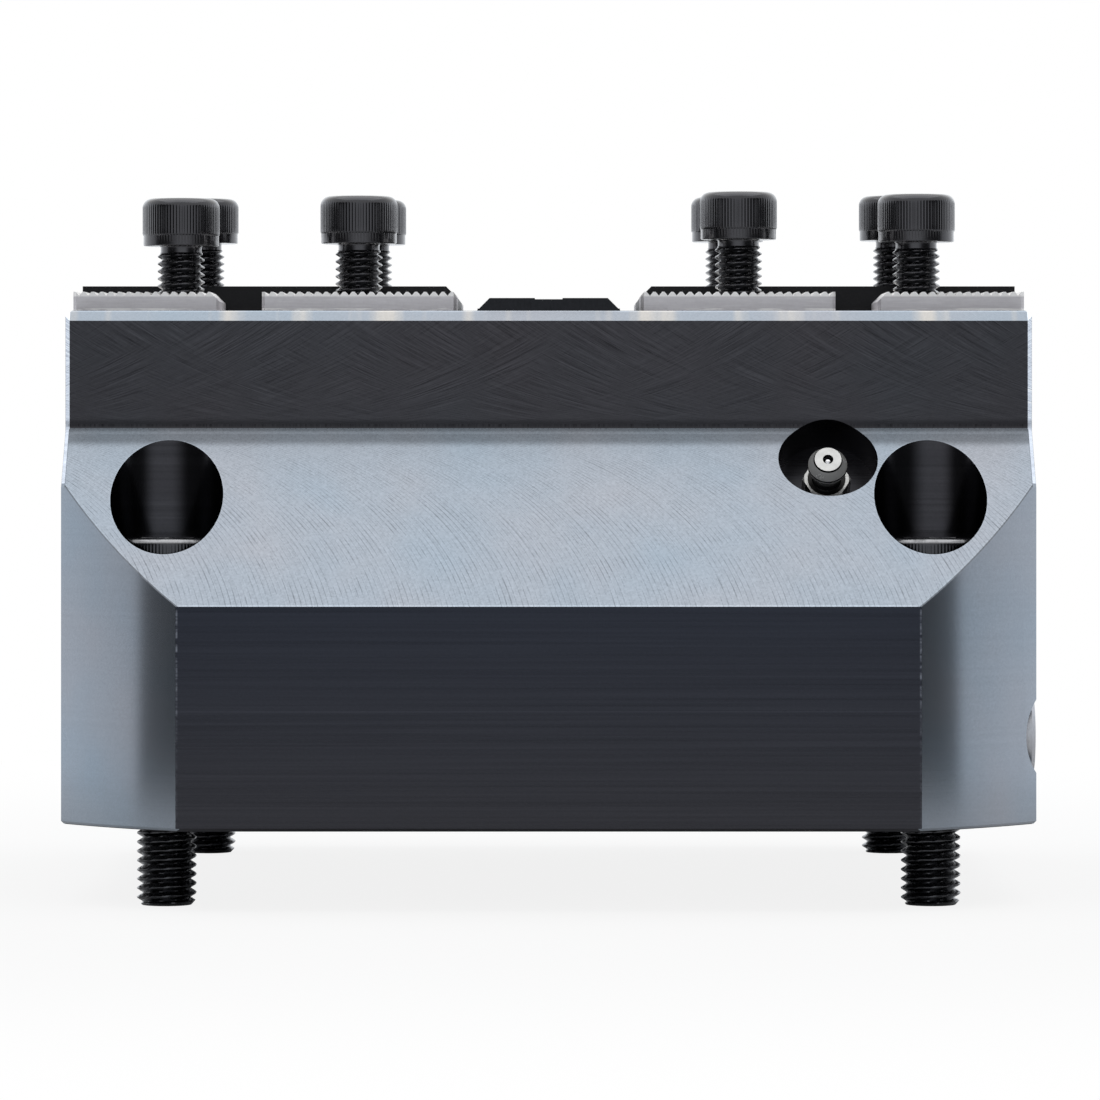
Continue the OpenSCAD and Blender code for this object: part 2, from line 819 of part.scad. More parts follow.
module centre_cover() {
    color("#1f2023")
        difference() {
            union() {
                along_y(cover_len)
                    polygon([
                        [-cover_w / 2, body_h],
                        [cover_w / 2, body_h],
                        [cover_w / 2 - cover_h, body_h + cover_h],
                        [-cover_w / 2 + cover_h, body_h + cover_h]
                    ]);
                translate([-cover_w / 2, -guide_w / 2 + 0.1, z_under])
                    cube([cover_w, guide_w - 0.2, tongue_h + 0.5]);
            }
            translate([-2.3, -cover_len, body_h + cover_h - 0.2])
                cube([4.6, 2 * cover_len, 2]);
            for (sy = [-1, 1])
                translate([0, sy * trim_y, body_h]) {
                    translate([0, 0, -1])
                        cylinder(d = trim_d + 0.6, h = cover_h + 2);
                    translate([0, 0, 0.1])
                        cylinder(d1 = trim_d + trim_gap, d2 = trim_head_d + trim_gap, h = trim_cone);
                    translate([0, 0, 0.1 + trim_cone])
                        cylinder(d = trim_head_d + trim_gap, h = cover_h);
                }
        }
}

module centre_cover_screws() {
    color("#2a2b2e")
        for (sy = [-1, 1])
            translate([0, sy * trim_y, body_h])
                difference() {
                    rotate_extrude()
                        polygon([
                            [0, -lip_h + 0.4],
                            [trim_d / 2 - 0.45, -lip_h + 0.4],
                            [trim_d / 2, -lip_h + 0.9],
                            [trim_d / 2, 0.1],
                            [trim_head_d / 2, 0.1 + trim_cone],
                            [trim_head_d / 2, cover_h - 0.25],
                            [0, cover_h - 0.25]
                        ]);
                    translate([0, 0, 0.5])
                        cylinder(r = 2.5 / 2 / cos(30), h = 3, $fn = 6);
                }
}

// Grease nipple: cone head, neck, hexagon and thread, tip at local Z = 0
module nipple() {
    head_r = nipple_head_d / 2;
    hex_r = nipple_hex / 2;
    color("#b8b6ae")
        difference() {
            union() {
                rotate_extrude()
                    polygon([
                        [0, 0],
                        [head_r - 1.05, 0],
                        [head_r, -1.9],
                        [head_r, -2.6],
                        [head_r - 0.95, -4.2],
                        [head_r - 0.95, -6.4],
                        [nipple_d / 2 - 0.35, -6.6],
                        [nipple_d / 2 - 0.35, -grease_depth + 1],
                        [nipple_d / 2, -grease_depth + 0.5],
                        [nipple_d / 2, -nipple_len + 0.5],
                        [nipple_d / 2 - 0.45, -nipple_len],
                        [0, -nipple_len]
                    ]);
                intersection() {
                    translate([0, 0, -grease_depth])
                        cylinder(r = hex_r / cos(30), h = grease_depth - 6.5, $fn = 6);
                    rotate_extrude()
                        polygon([
                            [0, -grease_depth],
                            [hex_r + 0.25, -grease_depth],
                            [hex_r + 0.6, -grease_depth + 0.25],
                            [hex_r + 0.6, -6.8],
                            [hex_r + 0.2, -6.5],
                            [0, -6.5]
                        ]);
                }
            }
            translate([0, 0, -1])
                cylinder(d = ball_d - 0.5, h = 2);
            translate([0, 0, -nipple_len - 1])
                cylinder(d = ball_d + 0.4, h = nipple_len + 0.2);
        }
}

module ball() {
    color("#d5d5d5")
        translate([0, 0, -0.45 - ball_d / 2])
            sphere(d = ball_d);
}

module grease_nipple_front() {
    grease_axis()
        nipple();
}

module grease_nipple_rear() {
    rotate([0, 0, 180])
        grease_axis()
            nipple();
}

module check_ball_front() {
    grease_axis()
        ball();
}

module check_ball_rear() {
    rotate([0, 0, 180])
        grease_axis()
            ball();
}

// Plug with a hexagon socket, its collar on the spot face
module port_plug(sy) {
    screw_r = port_d / 2 - 0.05;
    collar_r = plug_d / 2;
    color("#34363a")
        translate([half_w - plug_out, sy * port_y, port_z])
            rotate([0, 90, 0])
                difference() {
                    rotate_extrude()
                        polygon([
                            [0, 0],
                            [collar_r - 0.6, 0],
                            [collar_r, -0.6],
                            [collar_r, plug_out - spot_depth],
                            [screw_r, plug_out - spot_depth],
                            [screw_r, plug_out - port_depth + 1.7],
                            [screw_r - 0.7, plug_out - port_depth + 1],
                            [0, plug_out - port_depth + 1]
                        ]);
                    translate([0, 0, -3.9])
                        cylinder(r = 2.5 / cos(30), h = 6, $fn = 6);
                }
}

module port_plug_front() port_plug(-1);
module port_plug_rear() port_plug(1);

body();
bottom_cover();
bottom_cover_ring();
bottom_cover_screws();
piston();
piston_seal();
piston_guide_ring();
rod_seal();
wedge_block();
wedge_screw();
base_jaw_left();
base_jaw_right();
jaw_screw_front_left_outer();
jaw_screw_front_left_inner();
jaw_screw_front_right_inner();
jaw_screw_front_right_outer();
jaw_screw_rear_left_outer();
jaw_screw_rear_left_inner();
jaw_screw_rear_right_inner();
jaw_screw_rear_right_outer();
mounting_screw_front_left();
mounting_screw_front_right();
mounting_screw_rear_left();
mounting_screw_rear_right();
centre_cover();
centre_cover_screws();
grease_nipple_front();
grease_nipple_rear();
check_ball_front();
check_ball_rear();
port_plug_front();
port_plug_rear();
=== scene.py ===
"""Looks of the self centering vise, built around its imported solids."""
import json
import math

import bpy
import numpy as np
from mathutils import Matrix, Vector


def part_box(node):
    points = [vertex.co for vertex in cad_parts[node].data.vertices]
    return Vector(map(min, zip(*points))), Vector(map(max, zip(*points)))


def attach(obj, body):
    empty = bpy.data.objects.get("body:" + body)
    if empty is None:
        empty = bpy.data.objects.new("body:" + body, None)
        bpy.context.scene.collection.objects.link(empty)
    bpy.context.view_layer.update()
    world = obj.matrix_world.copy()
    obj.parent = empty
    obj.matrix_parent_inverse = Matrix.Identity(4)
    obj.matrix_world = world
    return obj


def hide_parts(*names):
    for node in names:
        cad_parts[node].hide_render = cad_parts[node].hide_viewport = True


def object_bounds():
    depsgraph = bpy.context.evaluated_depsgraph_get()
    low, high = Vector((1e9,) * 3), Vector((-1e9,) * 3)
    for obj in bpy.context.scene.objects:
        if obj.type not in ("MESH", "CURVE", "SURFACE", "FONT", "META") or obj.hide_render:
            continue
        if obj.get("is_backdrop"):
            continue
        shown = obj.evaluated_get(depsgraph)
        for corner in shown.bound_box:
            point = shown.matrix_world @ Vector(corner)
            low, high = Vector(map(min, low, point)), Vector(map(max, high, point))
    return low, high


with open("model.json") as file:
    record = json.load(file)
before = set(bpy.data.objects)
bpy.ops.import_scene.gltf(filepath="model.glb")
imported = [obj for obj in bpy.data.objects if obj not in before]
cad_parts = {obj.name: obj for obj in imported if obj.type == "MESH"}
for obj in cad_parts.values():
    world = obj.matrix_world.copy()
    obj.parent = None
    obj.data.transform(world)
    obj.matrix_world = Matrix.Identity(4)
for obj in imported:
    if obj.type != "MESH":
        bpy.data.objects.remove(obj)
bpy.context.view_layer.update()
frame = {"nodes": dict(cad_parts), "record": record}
MM = 0.001
TAU = 2 * math.pi

# Heights in mm: scribed line, lower and upper edges of the slopes, tops of the rails and the mounting screws
Z_SCRIBED = 19.3
Z_EDGE = 36.2
Z_SLOPE = 64.8
Z_RAIL = 84.4
Z_MOUNT = 47.0
# Distances from the middle in mm: side faces, just inside the turned corners, middles of the counterbores,
# then the counterbores' radius and half the width of the jaws' ribs
HALF_BODY = 80.0
CORNER_R = 99.99
SCREW_XY = 62.5
BORE_R = 9.35
RIB_HALF = 21.0
# Grease nipples: middle of the head's face with X and Y taken without their signs, tilt of the axis, and
# along it from that face, in mm, the edge of the head and the top of the hexagon
GREASE_AT = (46.0, 56.4, 59.8)
GREASE_TILT = math.radians(30)
HEAD_EDGE = -2.75
HEXAGON_TOP = -6.5
# Face mills: radii, distance of the large one's circle from the slope, and feeds in mm a turn
UPPER_MILL_R = 100.0
UPPER_MILL_GAP = 0.8
UPPER_FEED_THERE = 1.1
UPPER_FEED_BACK = 1.3
SLOPE_MILL_R = 50.0
SLOPE_FEED = 0.87
# Socket screws in mm: M8x20 in the jaws, M10x50 in the body; thread is the share of the length that it takes
JAW_HEAD = {"d": 13.0, "height": 8.0, "hexagon": 6.0, "deep": 4.0, "edge": 1.6, "band": 1.7, "grooves": 78}
JAW_SHANK = {"length": 20.0, "thread": 18.9, "d": 7.9, "pitch": 1.25, "neck": 6.9}
BODY_HEAD = {"d": 16.0, "height": 10.0, "hexagon": 8.0, "deep": 5.0, "edge": 1.3, "band": 2.0, "grooves": 88}
BODY_SHANK = {"length": 50.0, "thread": 32.0, "d": 9.73, "pitch": 1.5, "neck": 9.6}
# Studio in metres: half width of the floor, radius and height of the cloths, place and sides of the lamp
FLOOR_HALF = 6.0
CLOTH_R = 0.4
CLOTH_H = 0.29
LAMP_AT = (0, 0, 1.05)
LAMP_SIDES = (1.3, 1.0)
LAMP_WATTS = 4.1
# Camera: place in metres, focal length and sensor width in mm, shifts in widths of the frame
CAMERA_AT = (0, -1.067, 0.0646)
FOCAL_LENGTH = 200.9
SENSOR_WIDTH = 36
SHIFT_X = 0.0012
SHIFT_Y = -0.109
# Settings of a Mix node for colours: input 0 is the share, 6 and 7 are the colours
COLOURS = {"data_type": "RGBA", "out": 2}


def srgb(text):
    """Linear colour of an sRGB hex value."""
    part = [int(text[i:i + 2], 16) / 255 for i in (1, 3, 5)]
    return [c / 12.92 if c <= 0.04045 else ((c + 0.055) / 1.055) ** 2.4 for c in part] + [1.0]


def put(tree, kind, *feeds, out=0, named=None, **settings):
    """Adds one node with its settings and returns one of its outputs, or the node if it has none.

    feeds go to the inputs in their order and named ones by name or number, as sockets to link or as values.
    """
    made = tree.nodes.new("ShaderNode" + kind)
    for key, value in settings.items():
        setattr(made, key, value)
    for key, value in list(enumerate(feeds)) + list((named or {}).items()):
        if isinstance(value, bpy.types.NodeSocket):
            tree.links.new(value, made.inputs[key])
        else:
            made.inputs[key].default_value = value
    return made.outputs[out] if made.outputs else made


def material(name):
    """Empty material with its node tree, the place in mm as a vector, and that place's X, Y and Z."""
    made = bpy.data.materials.new(name)
    made.use_nodes = True
    tree = made.node_tree
    tree.nodes.clear()
    metres = put(tree, "TexCoord", out="Object")
    at = put(tree, "VectorMath", metres, named={"Scale": 1 / MM}, operation="SCALE")
    axes = put(tree, "SeparateXYZ", at, out="X").node.outputs
    return made, tree, at, (axes["X"], axes["Y"], axes["Z"])


def surface(tree, height=None, lift=0.004, **sockets):
    """Principled shader and output; height is a bump whose full lift is given in mm."""
    named = {key.replace("_", " "): value for key, value in sockets.items()}
    if height is not None:
        named["Normal"] = put(tree, "Bump", named={"Height": height, "Distance": lift * MM})
    put(tree, "OutputMaterial", put(tree, "BsdfPrincipled", named=named))


def streaks(tree, at, x, y, z, detail=3.0):
    """Noise drawn out along an axis; x, y and z are its cycles per mm."""
    drawn = put(tree, "VectorMath", at, (x, y, z), operation="MULTIPLY")
    return put(tree, "TexNoise", named={"Vector": drawn, "Scale": 1.0, "Detail": detail, "Roughness": 0.6})


def mill_path(tree, x, across, radius, feed, side):
    """Marks of a face mill: x minus side times the half chord of its circle at that distance, in feeds."""
    square = put(tree, "Math", across, across, operation="MULTIPLY")
    left = put(tree, "Math", radius * radius, square, operation="SUBTRACT")
    chord = put(tree, "Math", put(tree, "Math", left, 0.0, operation="MAXIMUM"), 0.5, operation="POWER")
    reach = put(tree, "Math", chord, -side, x, operation="MULTIPLY_ADD")
    return put(tree, "Math", reach, feed, operation="DIVIDE")


def mill_lines(tree, path, wander):
    """Uneven lines along a mill path: noise whose first axis is the path, 2.6 cycles a feed."""
    vector = put(tree, "CombineXYZ", path, wander, 0.0)
    return put(tree, "TexNoise", named={"Vector": vector, "Scale": 2.6, "Detail": 4.0, "Roughness": 0.8})


def black_oxide_tool_steel():
    """Black oxide on milled and turned tool steel.

    A thin black skin on bright metal: it mirrors softly, deep grey where it faces the dark of the studio and
    pale blue grey where it faces a light, a pale tone painted into the colour of the slopes, rails and
    turned corners as a painted reflection. The bevels, a few edges and the lower walls carry painted
    highlights and a painted floor reflection, and the creases by the slopes and the counterbores a painted
    shade. The marks of
    the cutters stay in it: crossing arcs of a large face mill on the upper walls, arcs of a smaller one on
    the slopes, and faint lines on the turned corners and the walls below.
    """
    made, t, at, (x, y, z) = material("black oxide tool steel")

    # Which face a point is on, as 0 or 1; a comparison gives the middle of a band and half its width
    up = put(t, "SeparateXYZ", put(t, "NewGeometry", out="Normal"), out="Z")
    out_x = put(t, "Math", x, operation="ABSOLUTE")
    out_y = put(t, "Math", y, operation="ABSOLUTE")
    tilted = put(t, "Math", up, 0.55, 0.22, operation="COMPARE")
    level = put(t, "Math", out_y, z)
    on_slope = put(t, "Math", level, HALF_BODY + Z_EDGE + 0.08, 0.26, operation="COMPARE")
    on_slope = put(t, "Math", on_slope, tilted, operation="MULTIPLY")
    on_rail = put(t, "Math", z, Z_RAIL - 0.9, 0.88, operation="COMPARE")
    on_rail = put(t, "Math", on_rail, tilted, operation="MULTIPLY")
    on_upper = put(t, "MapRange", z, Z_SLOPE, Z_SLOPE + 0.6, interpolation_type="SMOOTHSTEP")
    on_low = put(t, "Math", out_y, HALF_BODY, 0.03, operation="COMPARE")
    flat = put(t, "VectorMath", at, (1, 1, 0), operation="MULTIPLY")
    from_axis = put(t, "VectorMath", flat, operation="LENGTH", out="Value")
    on_corner = put(t, "Math", from_axis, CORNER_R - 0.4, operation="GREATER_THAN")
    on_corner = put(t, "Math", on_corner, on_low, operation="SUBTRACT", use_clamp=True)
    on_bevel = put(t, "Math", out_x, HALF_BODY - 0.38, 0.35, operation="COMPARE")
    other = put(t, "Math", on_corner, on_slope)
    on_bevel = put(t, "Math", on_bevel, other, operation="SUBTRACT", use_clamp=True)
    from_screw = put(t, "VectorMath", flat, operation="ABSOLUTE")
    screw = (SCREW_XY, SCREW_XY, 0)
    from_screw = put(t, "VectorMath", from_screw, screw, operation="DISTANCE", out="Value")
    in_bore = put(t, "Math", from_screw, BORE_R, operation="LESS_THAN")

    # Clouds of the oxide bath 20 mm wide, and a grain of 0.4 mm, coarser than the real one so that it shows
    cloud = put(t, "TexNoise", named={"Vector": at, "Scale": 0.05, "Detail": 2.0})
    grain = put(t, "TexNoise", named={"Vector": at, "Scale": 2.5, "Detail": 3.0, "Roughness": 0.6})

    # Upper walls: both halves of the path of a 200 mm mill, in patches 8 to 16 mm wide
    across = put(t, "Math", Z_SLOPE + UPPER_MILL_GAP + UPPER_MILL_R, z, operation="SUBTRACT")
    wander = put(t, "Math", x, 0.03, operation="MULTIPLY")
    there = mill_lines(t, mill_path(t, x, across, UPPER_MILL_R, UPPER_FEED_THERE, 1.0), wander)
    back = mill_lines(t, mill_path(t, x, across, UPPER_MILL_R, UPPER_FEED_BACK, -1.0), wander)
    share = put(t, "MapRange", streaks(t, at, 0.06, 0.1, 0.12), 0.4, 0.6)
    upper_marks = put(t, "MapRange", share, 0.0, 1.0, there, back)

    # Slopes: thin grooves, one a turn, of a 100 mm mill that touches the upper edge
    down = put(t, "Math", z, Z_SLOPE, operation="SUBTRACT")
    across = put(t, "Math", down, math.sqrt(2), SLOPE_MILL_R, operation="MULTIPLY_ADD")
    path = mill_path(t, x, across, SLOPE_MILL_R, SLOPE_FEED, 1.0)
    wander = put(t, "Math", put(t, "Math", x, z), 0.05, operation="MULTIPLY")
    fine = mill_lines(t, path, wander)
    turns = put(t, "Math", fine, 0.7, path, operation="MULTIPLY_ADD")
    turns = put(t, "Math", put(t, "Math", turns, TAU, operation="MULTIPLY"), operation="SINE")
    grooves = put(t, "Math", put(t, "Math", turns, 0.0, operation="MAXIMUM"), 9.0, operation="POWER")
    strong = put(t, "MapRange", streaks(t, at, 0.25, 0.25, 0.25), 0.35, 0.65, 0.0, -0.45)
    soft = put(t, "Math", fine, 0.45, 0.12, operation="MULTIPLY_ADD")
    soft = put(t, "Math", grain, 0.35, soft, operation="MULTIPLY_ADD")
    slope_marks = put(t, "Math", grooves, strong, soft, operation="MULTIPLY_ADD")

    # Lower walls: lines along the face every 0.5 mm, coarser than the real ones so that they show
    low_marks = streaks(t, at, 0.01, 0.01, 1.8, 5.0)
    marks = put(t, "MapRange", on_upper, 0.0, 1.0, low_marks, upper_marks)
    marks = put(t, "MapRange", on_slope, 0.0, 1.0, marks, slope_marks)

    # Tones: dark walls, lighter low down as a painted floor reflection, with a painted highlight on the edge
    # beside the corners; slopes, rails and corners in a pale copy, a painted reflection of the light they
    # face; bevels near white, a painted highlight
    wall = put(t, "Mix", named={0: cloud, 6: srgb("#3b3d41"), 7: srgb("#3d3b3e")}, **COLOURS)
    # Painted floor reflection: the lower walls turn lighter towards the floor
    up_share = put(t, "MapRange", z, 0.0, Z_EDGE)
    low_wall = put(t, "Mix", named={0: up_share, 6: srgb("#37373b"), 7: srgb("#2e3139")}, **COLOURS)
    wall = put(t, "Mix", named={0: on_low, 6: wall, 7: low_wall}, **COLOURS)
    # Painted highlight: a light line on the lower walls' edge beside the turned corners, broken up by noise
    # and fading towards the floor
    edge = put(t, "Math", from_axis, CORNER_R - 0.17, operation="GREATER_THAN")
    edge = put(t, "Math", edge, on_low, operation="MULTIPLY")
    lighter_share = put(t, "MapRange", streaks(t, at, 0.3, 0.3, 0.9), 0.42, 0.62, 0.0, 0.7)
    edge = put(t, "Math", edge, lighter_share, operation="MULTIPLY")
    edge = put(t, "Math", edge, put(t, "MapRange", z, 12.0, 26.0, 0.2, 1.0), operation="MULTIPLY")
    wall = put(t, "Mix", named={0: edge, 6: wall, 7: srgb("#777b84")}, **COLOURS)
    # Painted reflection: slopes, rails and turned corners get a pale blue grey copy of the steel's tone
    # where they face a light
    pale = put(t, "Mix", named={0: cloud, 6: srgb("#8493a0"), 7: srgb("#95969c")}, **COLOURS)
    patch = put(t, "MapRange", streaks(t, at, 0.09, 0.0, 0.0), 0.5, 0.62)
    patch = put(t, "Math", patch, on_rail, operation="MULTIPLY")
    pale = put(t, "Mix", named={0: patch, 6: pale, 7: srgb("#acaaa7")}, **COLOURS)
    open_face = put(t, "Math", put(t, "Math", on_slope, on_rail), on_corner, use_clamp=True)
    tone = put(t, "Mix", named={0: open_face, 6: wall, 7: pale}, **COLOURS)
    # Painted highlight: the side bevels are written near white
    tone = put(t, "Mix", named={0: on_bevel, 6: tone, 7: srgb("#dce3ee")}, **COLOURS)

    # How strongly the marks show on each face, as a share of its tone
    swing = put(t, "MapRange", on_corner, 0.0, 1.0, 0.9, 0.12)
    swing = put(t, "MapRange", on_upper, 0.0, 1.0, swing, 3.3)
    swing = put(t, "MapRange", on_slope, 0.0, 1.0, swing, 1.1)
    swing = put(t, "MapRange", on_rail, 0.0, 1.0, swing, 0.15)
    depth = put(t, "Math", marks, 0.5, operation="SUBTRACT")
    depth = put(t, "Math", depth, swing, 1.0, operation="MULTIPLY_ADD")
    depth = put(t, "Math", depth, put(t, "MapRange", grain, 0.3, 0.7, 0.94, 1.06), operation="MULTIPLY")

    # Painted shade: darker in the crease where the slope meets the upper wall, on both faces, and on the
    # slope where it meets a turned corner
    crease_shade = put(t, "MapRange", z, Z_SLOPE - 3.2, Z_SLOPE - 1.8, 1.0, 0.52, interpolation_type="SMOOTHSTEP")
    foot = put(t, "MapRange", z, Z_SLOPE + 0.9, Z_SLOPE + 1.9, 0.6, 1.0, interpolation_type="SMOOTHSTEP")
    foot = put(t, "MapRange", on_upper, 0.0, 1.0, 1.0, foot)
    crease_shade = put(t, "MapRange", on_slope, 0.0, 1.0, foot, crease_shade)
    depth = put(t, "Math", depth, crease_shade, operation="MULTIPLY")
    corner_shade = put(t, "Math", from_axis, CORNER_R, 0.22, operation="COMPARE")
    corner_shade = put(t, "Math", corner_shade, on_slope, operation="MULTIPLY")
    corner_shade = put(t, "Math", corner_shade, -0.6, 1.0, operation="MULTIPLY_ADD")
    depth = put(t, "Math", depth, corner_shade, operation="MULTIPLY")

    # Painted highlight along the slope's lower edge and the rail's upper edge, and lighter along the scribed
    # line; what slopes is written darker as painted shade, as it faces the lamp; the counterbores darker as
    # painted shade, and the lower walls lighter towards the floor as a painted floor reflection
    bright = put(t, "MapRange", put(t, "Math", on_slope, on_rail, use_clamp=True), 0.0, 1.0, 1.0, 0.86)
    bright = put(t, "MapRange", in_bore, 0.0, 1.0, bright, 0.9)
    lighter_lines = put(t, "Math", z, Z_EDGE + 0.1, 0.14, operation="COMPARE")
    lighter_lines = put(t, "Math", lighter_lines, put(t, "Math", z, Z_RAIL - 0.1, 0.12, operation="COMPARE"))
    lighter_lines = put(t, "Math", lighter_lines, on_corner, operation="SUBTRACT", use_clamp=True)
    scribed = put(t, "Math", z, Z_SCRIBED, 0.1, operation="COMPARE")
    lighter_lines = put(t, "Math", lighter_lines, put(t, "Math", scribed, on_low, operation="MULTIPLY"))
    bright = put(t, "Math", bright, put(t, "MapRange", lighter_lines, 0.0, 1.0, 1.0, 1.3), operation="MULTIPLY")
    bright = put(t, "Math", bright, put(t, "MapRange", z, 0.0, Z_EDGE, 1.08, 0.98), operation="MULTIPLY")
    depth = put(t, "Math", depth, bright, operation="MULTIPLY")
    colour = put(t, "VectorMath", tone, named={"Scale": depth}, operation="SCALE")

    # The turned corners are smoother, and marks are deepest on the milled slopes and upper walls
    rough = put(t, "MapRange", marks, 0.3, 0.7, 0.24, 0.34)
    rough = put(t, "MapRange", on_corner, 0.0, 1.0, rough, 0.13)
    rough = put(t, "MapRange", in_bore, 0.0, 1.0, rough, 0.2)
    milled = put(t, "Math", on_slope, on_upper, use_clamp=True)
    milled = put(t, "Math", milled, on_rail, operation="SUBTRACT")
    height = put(t, "Math", marks, put(t, "MapRange", milled, 0.0, 1.0, 0.25, 1.0), operation="MULTIPLY")
    surface(t, height, 0.003, Base_Color=colour, Roughness=rough, Metallic=1.0)
    return made


def black_oxide_screw_steel():
    """Black oxide with a film of oil on the rolled steel of class 12.9 screws.

    Deep black, a little lighter on the sides of the jaw screws' heads. The rims of the mounting screws carry
    a painted highlight, a lighter band broken by blotches. Its blotches are 2 mm wide, and its grain is
    drawn at
    0.2 mm, coarser than the real one.
    """
    made, t, at, (_, _, z) = material("black oxide screw steel")
    blotch = put(t, "TexNoise", named={"Vector": at, "Scale": 0.5, "Detail": 3.0})
    grain = put(t, "TexNoise", named={"Vector": at, "Scale": 5.0, "Detail": 2.0})
    colour = put(t, "Mix", named={0: blotch, 6: srgb("#1f2024"), 7: srgb("#2d2e34")}, **COLOURS)
    # Painted highlight: a lighter band round the mounting screws' rims, broken by the blotches
    lighter_lines = put(t, "Math", z, Z_MOUNT - 0.45, 0.32, operation="COMPARE")
    lighter_lines = put(t, "Math", lighter_lines, put(t, "MapRange", blotch, 0.25, 0.5), operation="MULTIPLY")
    colour = put(t, "Mix", named={0: lighter_lines, 6: colour, 7: srgb("#7c7d80")}, **COLOURS)
    up = put(t, "SeparateXYZ", put(t, "NewGeometry", out="Normal"), out="Z")
    side = put(t, "MapRange", put(t, "Math", up, operation="ABSOLUTE"), 0.1, 0.4, 1.0, 0.0)
    side = put(t, "Math", side, put(t, "Math", z, Z_RAIL, operation="GREATER_THAN"), operation="MULTIPLY")
    colour = put(t, "Mix", named={0: side, 6: colour, 7: srgb("#2d2c30")}, **COLOURS)
    rough = put(t, "MapRange", grain, 0.3, 0.7, 0.2, 0.3)
    oil = {"Coat_Weight": 1.0, "Coat_Roughness": 0.16}
    surface(t, grain, 0.0015, Base_Color=colour, Roughness=rough, Metallic=1.0, **oil)
    return made


def ground_case_hardened_steel():
    """Case hardened jaw steel: the toothed strips are ground bright, and the rib keeps its black oxide.

    The ground parts are warm grey; the teeth and a ragged line on the upright faces at the foot of the
    strips are written nearly white, a painted highlight.
    Their grinding scratches are 4 mm long and drawn every 0.3 mm, coarser than the real ones so that they
    show.
    """
    made, t, at, (_, y, z) = material("ground case hardened steel")
    inward = put(t, "Math", y, operation="ABSOLUTE")
    on_rib = put(t, "MapRange", inward, RIB_HALF + 0.02, RIB_HALF, 0.0, 1.0)
    on_rib = put(t, "Math", on_rib, put(t, "MapRange", z, Z_RAIL - 0.1, Z_RAIL), operation="MULTIPLY")
    # Painted highlight: the teeth are written near white
    on_teeth = put(t, "MapRange", z, Z_RAIL + 2.35, Z_RAIL + 2.7, interpolation_type="SMOOTHSTEP")
    scratch = streaks(t, at, 0.25, 0.25, 3.0)
    grain = put(t, "TexNoise", named={"Vector": at, "Scale": 2.2, "Detail": 4.0, "Roughness": 0.7})
    warm = put(t, "Mix", named={0: scratch, 6: srgb("#c4c2c5"), 7: srgb("#dedcdf")}, **COLOURS)
    up = put(t, "SeparateXYZ", put(t, "NewGeometry", out="Normal"), out="Z")
    upright = put(t, "Math", up, 0.0, 0.5, operation="COMPARE")
    # Painted highlight: a ragged light line on the upright faces at the foot of the strips
    foot_highlight = put(t, "Math", z, Z_RAIL + 0.28, 0.26, operation="COMPARE")
    foot_highlight = put(t, "Math", foot_highlight, upright, operation="MULTIPLY")
    ragged = put(t, "MapRange", streaks(t, at, 0.15, 0.15, 0.8), 0.48, 0.6)
    foot_highlight = put(t, "Math", foot_highlight, ragged, operation="MULTIPLY")
    light = put(t, "Math", on_teeth, foot_highlight, use_clamp=True)
    bright = put(t, "Mix", named={0: light, 6: warm, 7: srgb("#f4f3f2")}, **COLOURS)
    black = put(t, "Mix", named={0: grain, 6: srgb("#1f1f20"), 7: srgb("#2a2a2b")}, **COLOURS)
    colour = put(t, "Mix", named={0: on_rib, 6: bright, 7: black}, **COLOURS)
    rough = put(t, "MapRange", grain, 0.3, 0.7, 0.5, 0.62)
    rough = put(t, "MapRange", on_rib, 0.0, 1.0, rough, 0.4)
    height = put(t, "Math", scratch, grain)
    surface(t, height, 0.006, Base_Color=colour, Roughness=rough, Metallic=1.0)
    return made


def black_oxide_milled_bar():
    """Black oxide on the milled bar of the cover: satin black with lines along the bar.

    On the turned plugs of the air ports it wears to a light grey. The lines are drawn every 0.5 mm,
    coarser than the real ones so that they show.
    """
    made, t, at, (x, _, _) = material("black oxide milled bar")
    lines = streaks(t, at, 2.2, 0.04, 0.8)
    grain = put(t, "TexNoise", named={"Vector": at, "Scale": 3.0, "Detail": 2.0})
    colour = put(t, "Mix", named={0: lines, 6: srgb("#1f2022"), 7: srgb("#2d2e31")}, **COLOURS)
    # Only the plugs lie within 12 mm of a side face
    lighter_share = put(t, "Math", x, operation="ABSOLUTE")
    lighter_share = put(t, "Math", lighter_share, HALF_BODY - 12.0, operation="GREATER_THAN")
    colour = put(t, "Mix", named={0: lighter_share, 6: colour, 7: srgb("#b4b6bb")}, **COLOURS)
    rough = put(t, "MapRange", grain, 0.3, 0.7, 0.28, 0.4)
    surface(t, lines, 0.005, Base_Color=colour, Roughness=rough, Metallic=1.0)
    return made


def turned_bare_steel():
    """Bare turned steel inside the cylinder: clean grey with rings about the axis.

    The rings are drawn every 0.4 mm, coarser than the real feed of about 0.1 mm so that they show.
    """
    made, t, at, (_, _, z) = material("turned bare steel")
    flat = put(t, "VectorMath", at, (1, 1, 0), operation="MULTIPLY")
    reach = put(t, "VectorMath", flat, operation="LENGTH", out="Value")
    rings = put(t, "CombineXYZ", reach, z, 0.0)
    rings = put(t, "TexNoise", named={"Vector": rings, "Scale": 2.5, "Detail": 3.0})
    colour = put(t, "Mix", named={0: rings, 6: srgb("#85878b"), 7: srgb("#b4b6ba")}, **COLOURS)
    rough = put(t, "MapRange", rings, 0.3, 0.7, 0.24, 0.38)
    surface(t, rings, 0.005, Base_Color=colour, Roughness=rough, Metallic=1.0)
    return made


